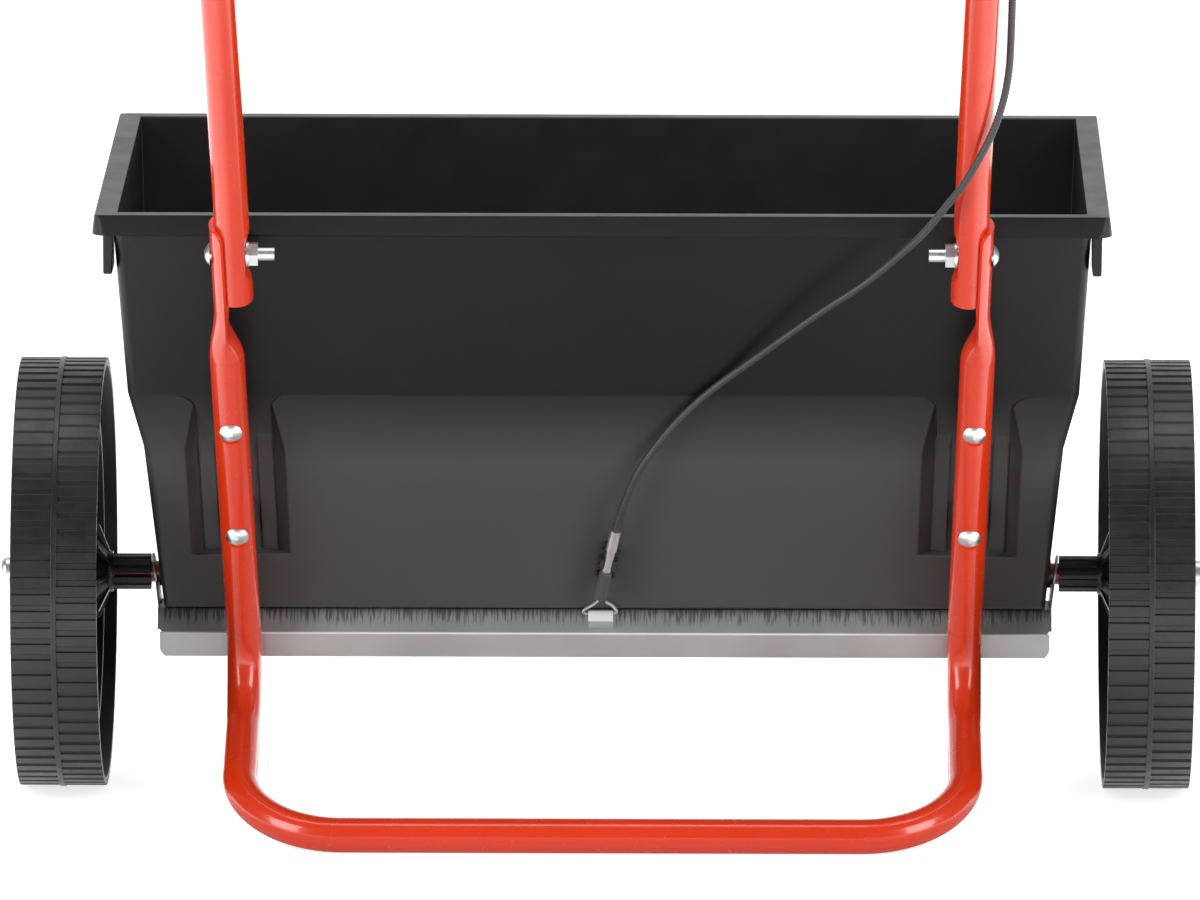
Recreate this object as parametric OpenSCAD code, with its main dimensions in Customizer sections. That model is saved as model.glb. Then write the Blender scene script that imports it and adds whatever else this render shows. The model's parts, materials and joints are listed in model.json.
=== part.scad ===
// Push spreader for lawns: a V hopper on two wheels, an agitator axle, a swinging
// shutter under the hopper, a bent tube stand and a handle with a dosing lever.
// Millimetres. +Z is up, +Y is the way it is pushed, the user stands at -Y.

/* [Wheels and axle] */
// Outer diameter of each wheel
wheel_d = 200; // [190:1:210]
// Width of each wheel
wheel_w = 39.5; // [34:0.5:42]
// Length of a wheel's sleeve inside the inner edge of its rim
sleeve_len = 20.7; // [19:0.1:24]
// Wall of the rim under the tread
rim_wall = 2.8; // [2:0.1:4]
// Tread blocks around each half of a rim
tread_count = 80; // [60:1:90]
// Depth of the tread grooves
tread_depth = 0.9; // [0.5:0.1:1.5]
// Thickness of the wheel's disc
disc_t = 3; // [2.5:0.1:4]
// Depth of the disc behind the inner edge of the rim
disc_in = 29; // [24:0.5:31]
// Middle radius of the ring wall inside a wheel
ring_r = 75; // [60:1:82]
// Diameter of the fluted sleeve on each wheel
sleeve_d = 16.6; // [15:0.1:18]
// Gap along the axle between a sleeve and the shutter's ear
sleeve_gap = 3.7; // [3.6:0.1:6]
// Diameter of the axle
axle_d = 10; // [9:0.1:11]
// Gap along the axle on both sides of a washer
washer_gap = 0.15; // [0.1:0.05:0.4]
// Radial clearance of running fits
run_clear = 0.05; // [0.03:0.01:0.08]
// Diameter of the push-on axle caps
cap_d = 13; // [12:0.1:15]
// Diameter of the drive pin
pin_d = 3; // [2:0.1:3.5]

/* [Hopper] */
// Length of the rim along the axle
rim_len = 460; // [450:1:461]
// Depth of the rim, front to back
rim_dep = 239; // [220:1:245]
// Height of the rim's top above the axle
rim_h = 193.6; // [180:0.2:200]
// Height of the rim's skirt
lip_h = 9.4; // [7:0.2:12]
// How far the skirt flares outwards
lip_flare = 1.2; // [0.6:0.1:2]
// How far the rim stands out from the walls
rim_over = 8; // [6:0.2:10]
// Wall of the hopper
wall = 2.5; // [2:0.1:3]
// Lean of the front and back walls, and of the handle, from upright
lean = 25; // [23:0.5:27]
// Height of the raised lower panels above the walls
bulge = 5; // [3:0.2:6]
// Height above the axle where the lower panels begin to rise
bulge_top = 99.5; // [90:0.5:110]
// Height above the axle where the lower panels are fully raised
bulge_full = 72.5; // [64:0.5:80]
// Underside of the hopper below the axle
floor_h = 11.5; // [10.5:0.1:13]
// Inner radius of the trough around the agitator
trough_r = 13; // [12.5:0.1:14]
// How far each end wall draws in from the rim down to the lower panels
end_in_mid = 4; // [3:0.5:6]
// How far it draws in down to where the lower panels are fully raised
end_in_low = 11; // [9:0.5:13]
// How far it draws in down to the foot
end_in_foot = 18; // [16:0.5:19]
// Width of a channel's floor around a stand tube
channel_w = 34; // [30:0.5:38]
// Radius of the raised panels' upper corners at a channel
channel_r = 9; // [4:0.5:12]
// Metering slots in the trough: length along the axle
slot_len = 14; // [10:0.5:18]
// Width of a metering slot around the trough
slot_w = 3.6; // [3:0.1:3.9]
// Pitch of the metering slots
slot_pitch = 28; // [24:0.5:32]

/* [Shutter] */
// Gap between the hopper's end, at its foot, and the outside of the shutter's ear
shutter_side = 3.3; // [3:0.1:3.6]
// Thickness of the shutter's sheet
sheet = 0.8; // [0.6:0.1:1]
// Gap between the trough and the shutter
shutter_gap = 0.7; // [0.5:0.1:1]
// Half-width of the shutter's ears around the axle
ear_r = 9; // [8:0.5:11]
// Width of the hook tongue
tongue_w = 11.4; // [9:0.2:13]
// Place of the hook tongue and the cable's hook, from the middle
tongue_x = -1.75; // [-3:0.05:0]

/* [Tubes] */
// Outer diameter of the tubes
tube_d = 16; // [15:0.1:17]
// Wall of the tubes
tube_wall = 1; // [0.8:0.1:1.5]
// Gap between a stand tube and the hopper's rim
rim_gap = 1.1; // [0.8:0.1:2]
// Distance of the stand's cross bar behind the axle
stand_back = 134; // [125:1:150]
// Distance from the end of the rim in to a stand leg
leg_in = 63.3; // [60:0.1:66]
// Slope of the stand's lower legs from level
leg_slope = 20.8; // [19:0.1:23]
// Bend radius at the stand's lower corners
corner_r = 48; // [40:1:60]
// Bend radius at the stand's knees
knee_r = 32; // [28:1:36]
// Outward flare of the tubes above the knees
flare = 1.5; // [1:0.1:2]
// Height of the lower frame bolts along the wall
bolt_low_s = 47; // [44:0.5:50]
// Distance between the frame bolts of a leg
bolt_pitch = 60; // [56:0.5:64]
// Top of the stand tubes along the wall
stand_top_s = 221.5; // [218:0.5:226]
// Overlap of two tubes at a bolted joint
joint_lap = 41.5; // [38:0.5:46]
// Length of a lower handle tube
handle_len = 410; // [380:1:440]
// Length of the upper handle's legs
upper_len = 420; // [400:1:450]
// Bend radius of the upper handle
upper_r = 60; // [50:1:70]
// Outer diameter of the foam grip
grip_d = 28; // [25:0.5:32]
// Bare tube at each end of the foam grip, up to the bend
grip_bare = 8.5; // [3:0.5:20]

/* [Fasteners] */
// Shank diameter of the bolts
bolt_d = 6; // [5:0.1:6.4]
// Clearance around the shanks
bolt_clear = 0.2; // [0.1:0.05:0.4]
// Diameter of the frame bolts' domed heads
head_d = 10.4; // [10:0.1:12]
// Width of the nuts across their flats
nut_af = 10; // [9:0.1:11]
// Height of the nuts
nut_h = 4.2; // [3.5:0.1:5]
// Diameter of the washers inside the hopper
washer_d = 16; // [14:0.5:18]
// Thickness of the washers inside the hopper
washer_t = 1.2; // [1:0.1:1.6]

/* [Dosing control] */
// Place of the lever's pivot along the wall line
pivot_s = 748; // [735:1:760]
// Distance from the handle's leg out to the lever's pivot
pivot_out = 8; // [7:0.5:9]
// Width of the housing
case_w = 42; // [40:0.5:46]
// Length of the housing
case_l = 84; // [78:1:92]
// Radius from the pivot to the cable's nipple
nipple_r = 10.4; // [9:0.1:11]
// Travel of the lever in degrees
lever_turn = 50; // [40:1:56]
// Length of the lever from its pivot to its knob
lever_len = 66; // [60:1:80]
// Diameter of the lever's knob
knob_d = 18; // [15:0.5:22]
// Diameter of the cable's sheath
cable_d = 3.5; // [3:0.1:4]

/* [Hidden] */
$fn = 64;

orange = [0.89, 0.23, 0.08];
black = [0.13, 0.13, 0.13];
zinc = [0.78, 0.78, 0.76];
steel = [0.55, 0.53, 0.51];

// Places along the axle, each from the one before, out from the hopper to the caps
end_rim_x = rim_len / 2 - rim_over;
end_mid_x = end_rim_x - end_in_mid;
end_low_x = end_rim_x - end_in_low;
end_foot_x = end_rim_x - end_in_foot;
shutter_x = end_foot_x + shutter_side;
sleeve_end_x = shutter_x + sleeve_gap;
wheel_in_x = sleeve_end_x + sleeve_len;
hub_out = wheel_w + 1;
washer_x = wheel_in_x + hub_out + washer_gap;
cap_x = washer_x + 1 + washer_gap;
cap_deep = 5;
axle_len = 2 * (cap_x + cap_deep);
leg_x = rim_len / 2 - leg_in;

axle_z = wheel_d / 2;
tube_r = tube_d / 2;
axle_r = axle_d / 2;
rise = tan(lean);
lip_low = rim_h - lip_h;
// Distance of the back wall's outer face behind the axle, at the axle's height
wall_back = rim_dep / 2 - rim_over - rise * lip_low - 1.2;
// Distance of the tubes' axes out from the wall
tube_off = (rim_over + 1.2 + lip_flare) * cos(lean) + tube_r + rim_gap;
bolt_hi_s = bolt_low_s + bolt_pitch;
shank_r = bolt_d / 2;
hole_r = shank_r + bolt_clear;
seat_off = tube_r - 1.4;
// Clearance of parts that are fixed to each other
press_gap = 0.02;
// The shutter's sheet around the trough
shutter_in = trough_r + wall + shutter_gap;
shutter_mid = shutter_in + sheet / 2;
ear_x = shutter_x - sheet;

// Distance behind the axle of the wall and of the raised panel at a height
function wall_t(u) = wall_back + rise * u;
function bulge_t(u) = wall_t(u) + bulge / cos(lean);
// Distance from the middle to a stand tube's axis, along the wall
function leg_x_at(s) = leg_x + tan(flare) * (s - knee_s);

// The stand's lower leg meets the line of the upper leg here
leg_back = wall_back + tube_off / cos(lean);
knee_t = (leg_back + rise * (tan(leg_slope) * stand_back - axle_z + tube_r))
    / (1 + rise * tan(leg_slope));
knee_u = tube_r - axle_z + tan(leg_slope) * (stand_back - knee_t);
knee_turn = 90 + lean - leg_slope;
knee_cut = knee_r * tan(knee_turn / 2);
knee_s = (knee_t - wall_back) * sin(lean) + knee_u * cos(lean) + knee_cut;
leg_len = (stand_back - knee_t) / cos(leg_slope) - knee_cut - corner_r;

// Bolted tube joints: the lower tube's end is pressed into a saddle around the upper tube
saddle_t = 2.2;
saddle_gap = 0.25;
saddle_span = 60;
press_len = 28;
saddle_step = 5.8;
join_1_s = stand_top_s - 17;
handle_s = stand_top_s - joint_lap;
handle_x = leg_x_at(handle_s) - saddle_step;
handle_top_s = handle_s + handle_len;
join_2_s = handle_top_s - 17;
upper_s = handle_top_s - joint_lap;
upper_x = handle_x + tan(flare) * (handle_len - 20) - saddle_step;
upper_top_s = upper_s + upper_len;
function handle_x_at(s) = handle_x + tan(flare) * (s - handle_s);
pivot_x = upper_x + pivot_out;
grip_len = 2 * (upper_x - upper_r - grip_bare);

// The origin is on the floor at the middle of the whole spreader
grip_back = wall_back + tube_off * cos(lean) + upper_top_s * sin(lean) + grip_d / 2;
lip_front = rim_dep / 2 + lip_flare;
frame_y = (grip_back - lip_front) / 2;

// Dosing control
case_off = tube_off + tube_r + 2;
case_in = case_off + 2.4;
case_deep = 12;
cover_t = 2.4;
cover_off = case_off + case_deep;
case_down = 0.44 * case_l;
case_low_s = pivot_s - case_down;
cable_in_x = pivot_x + nipple_r * cos(lever_turn / 2) + 0.4;
cable_in_off = case_in + 5.5;
shutter_turn = 17;

// The cable from the housing to the ferrule, along the handle and the back wall: distance
// from the middle with the pivot at 179, distance out from the wall, height along the wall
cable_low = [
    [189, 35.2, 670], [189.5, 33.4, 652],
    [190.4, 30, 632], [191.3, 25.6, 612], [192, 21.2, 588], [191, 18.5, 560], [189.5, 18, 530], [188, 18, 495],
    [187, 18, 460], [186, 18, 425], [185, 18, 390], [184.5, 18, 355], [184, 18.5, 322],
    [183.3, 20, 308], [181, 24, 295], [176.7, 28.5, 282], [171, 31, 269.5], [163.5, 31, 253.5],
    [154.5, 28, 237], [145.5, 24, 220.5], [133.5, 19.5, 203.5], [118.5, 15.5, 185.5],
    [100.5, 12.5, 168.5], [82, 9.5, 150], [66, 5.5, 132.5], [54, 3.2, 120], [43.5, 3.5, 109.5],
    [32.5, 6.5, 98.5], [23.5, 9.5, 87], [15.5, 11.8, 74], [10.3, 12, 59], [7.1, 12, 48]];
cable_route = [for (p = cable_low) [p[0] < 40 ? p[0] : p[0] * pivot_x / 179, p[1], p[2]]];
cable_bore = 0.85;
core_r = 0.75;
ferrule_off = 12;
ferrule_s = 17.5;
ferrule_x = 1.2;
ferrule_tilt = 10.8;
ferrule_len = 24.5;
boot_len = 15.5;

module at_axle() translate([0, frame_y, axle_z]) children();

// Frame of the back wall: Z runs up along the wall, -Y points out from it
module on_wall() at_axle() translate([0, -wall_back, 0]) rotate([lean, 0, 0]) children();

module both_sides() {
    children();
    mirror([1, 0, 0]) children();
}

module along_x(len) rotate([90, 0, 90]) translate([0, 0, -len / 2]) linear_extrude(len) children();
module along_y(len) rotate([90, 0, 0]) translate([0, 0, -len / 2]) linear_extrude(len) children();

// A hexagonal nut or head, standing on Z = 0
module hexagon(af, h) cylinder(d = af / cos(30), h = h, $fn = 6);

// Part of a ball, as a low dome on Z = 0
module dome(d, h) {
    ball = (d * d / 4 + h * h) / (2 * h);
    rotate_extrude() intersection() {
        translate([0, h - ball]) circle(ball);
        square([d / 2, h]);
    }
}

module ring_2d(r_out, r_in) difference() {
    circle(r_out);
    circle(r_in);
}

module pipe(len) linear_extrude(len) ring_2d(tube_r, tube_r - tube_wall);

module pipe_bend(r, turn) rotate_extrude(angle = turn) translate([r, 0])
    ring_2d(tube_r, tube_r - tube_wall);

// A closed skin over rings of points that all have the same count
module skin(rings) {
    n = len(rings[0]);
    m = len(rings);
    polyhedron(
        points = [for (ring = rings) each ring],
        faces = concat(
            [for (j = [0:m - 2]) for (i = [0:n - 1]) each [
                [j * n + i, j * n + (i + 1) % n, (j + 1) * n + i],
                [(j + 1) * n + i, j * n + (i + 1) % n, (j + 1) * n + (i + 1) % n]]],
            [[for (i = [n - 1:-1:0]) i]],
            [[for (i = [0:n - 1]) (m - 1) * n + i]]));
}

function mix(a, b, f) = a + (b - a) * f;
function ease(f) = f * f * (3 - 2 * f);

// One ring of a pressed tube end: a circle that turns into a crescent around the next tube
skin_in = 0.05;
press_n = 16;
function round_pt(i) = let (a = i < press_n ? 90 - 180 * i / (press_n - 1)
    : -90 - 180 * (i - press_n + 0.5) / press_n) (tube_r - skin_in) * [cos(a), sin(a)];
function saddle_pt(i, span) = let (
    inner = i >= press_n,
    a = inner ? -span + 2 * span * (i - press_n) / (press_n - 1)
        : span - 2 * span * i / (press_n - 1),
    r = tube_r + saddle_gap + (inner ? 0 : saddle_t))
    [r * cos(a) - saddle_step, r * sin(a)];
function press_ring(s, f, span, tilt, mid) = [for (i = [0:2 * press_n - 1]) let (
    next = saddle_pt(i, span) - [tan(tilt) * (s - mid), 0],
    p = mix(round_pt(i), next, ease(f))) [p[0], p[1], s]];

// The pressed end of a tube, from where it is still round to its rounded tip, around a
// tube that stands at an angle of tilt to it
module pressed_end(top, tilt) {
    low = top - 47 - press_len;
    mid = top - 20;
    skin(concat(
        [for (k = [0:8]) press_ring(low + press_len * k / 8, k / 8, saddle_span, tilt, mid)],
        [for (end = [[5, 1], [2, 0.85], [0, 0.6]])
            press_ring(top - end[0], 1, saddle_span * end[1], tilt, mid)]));
}

// A tube's plain lower end, dented on its inner side where the joint's nut sits
dent_n = 32;
dent_deep = 2.6;
dent_half = 15;
dent_flat = 6.3;
function dent(s, at) = dent_deep
    * ease(min(1, max(0, (dent_half - abs(s - at)) / (dent_half - dent_flat))));
function dent_ring(s, at, r) = [for (i = [0:dent_n - 1]) let (a = -360 * i / dent_n)
    [max(r * cos(a), dent(s, at) - r), r * sin(a), s]];
module dented_end(at, len) {
    steps = 20;
    difference() {
        skin([for (k = [0:steps]) dent_ring(len * k / steps, at, tube_r - skin_in)]);
        skin([for (k = [-1:steps + 1])
            dent_ring(len * k / steps, at, tube_r - tube_wall + 2 * skin_in)]);
    }
}

module color_black() color(black) children();

// Hopper

function half_side(in) = let (top = rim_h + (in > 0 ? 1 : 0)) [
    [wall_t(top) - in, top],
    [wall_t(bulge_top) - in, bulge_top],
    [bulge_t(bulge_full) - in, bulge_full]];
function mirrored(p) = concat([for (q = p) [-q[0], q[1]]],
    [for (i = [len(p) - 1:-1:0]) p[i]]);

module side_outer() {
    polygon(mirrored(concat(half_side(0), [
        [bulge_t(1.8 - floor_h), 1.8 - floor_h],
        [bulge_t(-floor_h) - 1.6, -floor_h]])));
    circle(trough_r + wall);
}

shelf_u = 12;
module side_inner() {
    in = wall / cos(lean);
    polygon(mirrored(concat(half_side(in), [
        [bulge_t(shelf_u) - in, shelf_u],
        [trough_r * cos(28), -trough_r * sin(28)]])));
    circle(trough_r);
}

module end_profile(in) polygon(mirrored([
    [end_rim_x + 0.4 - in, rim_h + (in > 0 ? 1 : 0)],
    [end_rim_x - in, lip_low],
    [end_mid_x - in, bulge_top],
    [end_low_x - in, bulge_full],
    [end_foot_x - in, -floor_h],
    [end_foot_x - in, -2 * trough_r]]));

module plan_block(r, dx, dy, h) linear_extrude(h) {
    square([2 * (dx - r), 2 * dy], center = true);
    square([2 * dx, 2 * (dy - r)], center = true);
    for (x = [-1, 1]) for (y = [-1, 1])
        translate([x * (dx - r), y * (dy - r)]) circle(r);
}

// The rim's skirt, less a wall where in is more than 0
module skirt(in, low, top) intersection() {
    along_x(rim_len + 20) polygon(mirrored([
        [rim_dep / 2 - in, top], [rim_dep / 2 + lip_flare - in, lip_low],
        [rim_dep / 2 + lip_flare - in, low]]));
    along_y(rim_dep + 20) polygon(mirrored([
        [rim_len / 2 - in, top], [rim_len / 2 + lip_flare - in, lip_low],
        [rim_len / 2 + lip_flare - in, low]]));
    translate([0, 0, low]) plan_block(7 - in, rim_len / 2 + lip_flare - in,
        rim_dep / 2 + lip_flare - in, top - low);
}

// A recess in the raised panel around a stand tube, in the frame of the wall
channel_low_s = 20.9;
channel_draft = 6;
module channel(grow) translate([leg_x_at(bolt_hi_s), 0, bolt_hi_s]) rotate([0, flare, 0])
    translate([0, 0, channel_low_s - bolt_hi_s - grow])
        linear_extrude(130 - channel_low_s + 2 * grow) polygon([
            [-channel_w / 2 - grow, grow], [channel_w / 2 + grow, grow],
            [channel_w / 2 + grow, 0],
            [channel_w / 2 + channel_draft * 1.4 + grow, -bulge * 1.4],
            [-channel_w / 2 - channel_draft * 1.4 - grow, -bulge * 1.4],
            [-channel_w / 2 - grow, 0]]);

// What rounds the upper corners of the raised panels on both sides of a channel
module panel_corners() translate([leg_x_at(bolt_hi_s), 0, bolt_hi_s]) rotate([0, flare, 0])
    for (side = [0, 1]) mirror([side, 0, 0])
        translate([channel_w / 2, 0, bulge_top / cos(lean) - bolt_hi_s]) rotate([90, 0, 0])
            linear_extrude(1.4 * bulge) difference() {
                translate([-1, -channel_r]) square([channel_r + 1, channel_r + 2]);
                translate([channel_r, -channel_r]) circle(channel_r);
            }

module frame_bolt_places() both_sides()
    for (s = [bolt_low_s, bolt_hi_s]) translate([leg_x_at(s), 0, s])
        rotate([90, 0, 0]) children();

spring_u = 34;
spring_t = bulge_t(spring_u) + 5;
lug_w = 5;
// Eye of the shutter's spring arm, half the shutter's travel below level
eye_u = -spring_t * tan(shutter_turn / 2);

module hopper() color_black() {
    difference() {
        union() {
            at_axle() {
                difference() {
                    union() {
                        intersection() {
                            along_x(rim_len) side_outer();
                            along_y(rim_dep) end_profile(0);
                        }
                        difference() {
                            skirt(0, lip_low, rim_h);
                            difference() {
                                skirt(2.2, lip_low - 1, rim_h - wall);
                                intersection() {
                                    along_x(rim_len) side_outer();
                                    along_y(rim_dep) end_profile(0);
                                }
                            }
                        }
                    }
                    difference() {
                        intersection() {
                            along_x(rim_len) side_inner();
                            along_y(rim_dep) end_profile(wall);
                        }
                        both_sides() translate([0, -wall_back, 0]) rotate([lean, 0, 0])
                            channel(wall);
                    }
                }
                // Ribs that hang under the rim's ends
                both_sides() for (y = [-1, 1]) translate([end_rim_x + 0.6, y * 96 - 11, lip_low - 20.5])
                    cube([4.2, 22, 20.5 + lip_h - 1]);
                // Lug on the front wall that holds the return spring
                translate([0, spring_t, spring_u]) rotate([0, 90, 0])
                    cylinder(r = 3.5, h = lug_w, center = true);
                translate([-lug_w / 2, bulge_t(spring_u) - wall, spring_u - 3.5])
                    cube([lug_w, 5 + wall, 7]);
            }
        }
        // Channels for the stand tubes
        on_wall() both_sides() {
            channel(0);
            panel_corners();
        }
        at_axle() {
            // Bush seats in both ends
            along_x(2 * rim_len) circle(bush_r + press_gap);
            // Metering slots
            slots = floor((end_foot_x - 20) / slot_pitch);
            for (i = [-slots:slots])
                translate([i * slot_pitch - slot_len / 2, -slot_w / 2, -2 * trough_r])
                    cube([slot_len, slot_w, 2 * trough_r]);
            // Eye for the spring's hook
            translate([0, spring_t, spring_u]) rotate([0, 90, 0])
                cylinder(r = 1.4, h = 3 * lug_w, center = true, $fn = 24);
        }
        on_wall() frame_bolt_places() translate([0, 0, -20]) cylinder(r = hole_r, h = 40);
    }
    // Pads that carry the stand tubes, and the ribs beside them
    difference() {
        on_wall() {
            frame_bolt_places() translate([0, 0, -0.2])
                cylinder(d = 15, h = tube_off - tube_r + 0.1);
            both_sides() translate([leg_x_at(bolt_hi_s), 0, bolt_hi_s]) rotate([0, flare, 0])
                for (x = [-1, 1]) translate([x * 13.4 - 3.5, 0, channel_low_s - bolt_hi_s])
                    rotate([90, 0, 90]) linear_extrude(7)
                        polygon([[0.2, -0.2], [0.2, 68], [-1.2, 60], [-1.2, -0.2]]);
        }
        on_wall() frame_bolt_places() translate([0, 0, -20]) cylinder(r = hole_r, h = 60);
    }
}

bush_r = 6.6;
bush_flange_r = 9.5;
bush_end_x = ear_x + 0.7;
module axle_bushes() color("dimgray") at_axle() both_sides()
    translate([end_foot_x - wall - 2, 0, 0]) rotate([0, 90, 0]) difference() {
        union() {
            cylinder(r = bush_flange_r, h = 1.9);
            cylinder(r = bush_r, h = bush_end_x - (end_foot_x - wall - 2));
        }
        translate([0, 0, -1]) cylinder(r = axle_r + run_clear, h = 20);
    }

// Stand and handle

// A strengthened seat in a tube's back for a domed bolt head
module bolt_seat() difference() {
    intersection() {
        rotate([90, 0, 0]) cylinder(d = head_d + 3, h = 2 * tube_r);
        cylinder(r = tube_r - tube_wall / 2, h = 3 * head_d, center = true);
        translate([-tube_r, -tube_r, -head_d]) cube([tube_d, 3, 2 * head_d]);
    }
    rotate([90, 0, 0]) translate([0, 0, seat_off]) cylinder(d = head_d + 0.8, h = tube_r);
}

knee_ring = 1.5;
module stand_half() {
    at_axle() translate([0, -stand_back, tube_r - axle_z]) {
        rotate([leg_slope - 90, 0, 0]) {
            rotate([0, 90, 0]) pipe(leg_x - corner_r);
            translate([leg_x - corner_r, 0, corner_r]) rotate([90, 0, 0]) rotate([0, 0, -90])
                pipe_bend(corner_r, 90);
            translate([leg_x, 0, corner_r]) pipe(leg_len);
            translate([leg_x, -knee_r, corner_r + leg_len]) rotate([90, 0, 90])
                pipe_bend(knee_r, knee_turn);
        }
    }
    // Ring that joins the knee to the leg above it, which starts clear of the knee's end
    on_wall() translate([leg_x, -tube_off, knee_s - knee_ring]) linear_extrude(2 * knee_ring)
        ring_2d(tube_r + 0.15, tube_r - tube_wall - 0.15);
    on_wall() translate([leg_x, -tube_off, knee_s]) rotate([0, flare, 0]) {
        long = stand_top_s - 47 - press_len - knee_s;
        start = 1.4 * tube_r * sin(flare);
        difference() {
            union() {
                translate([0, 0, start]) pipe(long + 0.5 - start);
                for (s = [bolt_low_s, bolt_hi_s])
                    translate([0, 0, (s - knee_s) / cos(flare)]) bolt_seat();
            }
            for (s = [bolt_low_s, bolt_hi_s]) translate([0, 0, (s - knee_s) / cos(flare)])
                rotate([90, 0, 0]) {
                    translate([0, 0, -tube_d]) cylinder(r = hole_r, h = 2 * tube_d);
                    translate([0, 0, seat_off]) cylinder(d = head_d + 0.8, h = tube_r);
                }
        }
        difference() {
            pressed_end(stand_top_s - knee_s, 0);
            translate([0, 0, (join_1_s - knee_s) / cos(flare)]) rotate([0, 90 - flare, 0])
                cylinder(r = hole_r, h = 3 * tube_d, center = true);
        }
    }
}

module stand_frame() color(orange) both_sides() stand_half();

module handle_tube() on_wall() translate([handle_x, -tube_off, handle_s]) rotate([0, flare, 0]) {
    low = joint_lap + 6;
    top = handle_len;
    difference() {
        union() {
            dented_end(join_1_s - handle_s, low);
            translate([0, 0, low - 0.5]) pipe(top - 47 - press_len - low + 1);
            pressed_end(top, flare);
        }
        for (s = [join_1_s, join_2_s]) translate([0, 0, (s - handle_s) / cos(flare)])
            rotate([0, 90 - flare, 0]) cylinder(r = hole_r, h = 3 * tube_d, center = true);
    }
}

module handle_tube_right() color(orange) handle_tube();
module handle_tube_left() color(orange) mirror([1, 0, 0]) handle_tube();

module upper_handle() color(orange) on_wall() both_sides()
    translate([0, -tube_off, upper_s]) {
        low = joint_lap + 6;
        difference() {
            translate([upper_x, 0, 0]) {
                dented_end(join_2_s - upper_s, low);
                translate([0, 0, low - 0.5]) pipe(upper_len - upper_r - low + 0.5);
            }
            translate([upper_x, 0, join_2_s - upper_s]) rotate([0, 90, 0])
                cylinder(r = hole_r, h = 3 * tube_d, center = true);
        }
        translate([upper_x - upper_r, 0, upper_len - upper_r]) rotate([90, 0, 0])
            pipe_bend(upper_r, 90);
        translate([0, 0, upper_len]) rotate([0, 90, 0]) pipe(upper_x - upper_r);
    }

module foam_grip() color("dimgray") on_wall() translate([0, -tube_off, upper_top_s])
    rotate([0, 90, 0]) rotate_extrude() difference() {
        union() {
            translate([0, 4 - grip_len / 2]) square([grip_d / 2, grip_len - 8]);
            translate([0, -grip_len / 2]) square([grip_d / 2 - 4, grip_len]);
            for (z = [-1, 1]) translate([grip_d / 2 - 4, z * (grip_len / 2 - 4)])
                circle(4);
        }
        translate([0, -grip_len]) square([tube_r + run_clear, 2 * grip_len]);
    }

// Fasteners

nut_off = -wall - washer_t;
module frame_bolts() color(zinc) on_wall() frame_bolt_places() {
    translate([0, 0, tube_off + seat_off]) dome(head_d, 2.4);
    translate([0, 0, nut_off - nut_h - 2])
        cylinder(r = shank_r, h = tube_off + seat_off - nut_off + nut_h + 2);
}
module frame_washers() color(zinc) on_wall() frame_bolt_places()
    translate([0, 0, nut_off]) difference() {
        cylinder(d = washer_d, h = washer_t);
        translate([0, 0, -1]) cylinder(r = hole_r, h = 3);
    }
module frame_nuts() color(zinc) on_wall() frame_bolt_places()
    translate([0, 0, nut_off - nut_h]) difference() {
        hexagon(nut_af, nut_h);
        translate([0, 0, -1]) cylinder(r = shank_r + press_gap, h = nut_h + 2);
    }

// Both joints of one side: the inner tube's axis is the origin, X points outwards
module joint_places() on_wall() both_sides() {
    translate([handle_x_at(join_1_s), -tube_off, join_1_s]) rotate([0, 90, 0]) children();
    translate([upper_x, -tube_off, join_2_s]) rotate([0, 90, 0]) children();
}
joint_out = tube_r + saddle_gap + saddle_t + 0.3;
joint_in = -tube_r + dent_deep - 0.3;
joint_tip = -18.5;
module joint_bolts() color(zinc) joint_places() {
    translate([0, 0, joint_out]) dome(head_d, 2.6);
    translate([0, 0, joint_tip]) cylinder(r = shank_r, h = joint_out - joint_tip);
}
module joint_nuts() color(zinc) joint_places() translate([0, 0, joint_in - nut_h - 1.2]) {
    difference() {
        union() {
            hexagon(nut_af, nut_h);
            translate([0, 0, nut_h - 0.01]) cylinder(d = nut_af + 1.5, h = 1.21);
        }
        translate([0, 0, -1]) cylinder(r = shank_r + press_gap, h = nut_h + 4);
    }
}

// Dosing control on the right leg of the upper handle

module on_pivot() on_wall() translate([pivot_x, 0, pivot_s]) rotate([90, 0, 0]) children();

case_x = pivot_x - case_w / 2;
module case_2d(in) translate([-case_w / 2, -case_down]) translate([in, in]) {
    r = 6 - in;
    w = case_w - 2 * in;
    l = case_l - 2 * in;
    translate([r, 0]) square([w - 2 * r, l]);
    translate([0, r]) square([w, l - 2 * r]);
    for (x = [r, w - r]) for (y = [r, l - r]) translate([x, y]) circle(r);
}
screw_posts = [[-case_w / 2 + 6, 6 - case_down], [case_w / 2 - 6, 19 - case_down]];
clamp_x = upper_x - pivot_x;
clamp_half = tube_r + 6.5;
clamp_y = 0.38 * case_l;
clamp_len = 0.24 * case_l;

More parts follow.
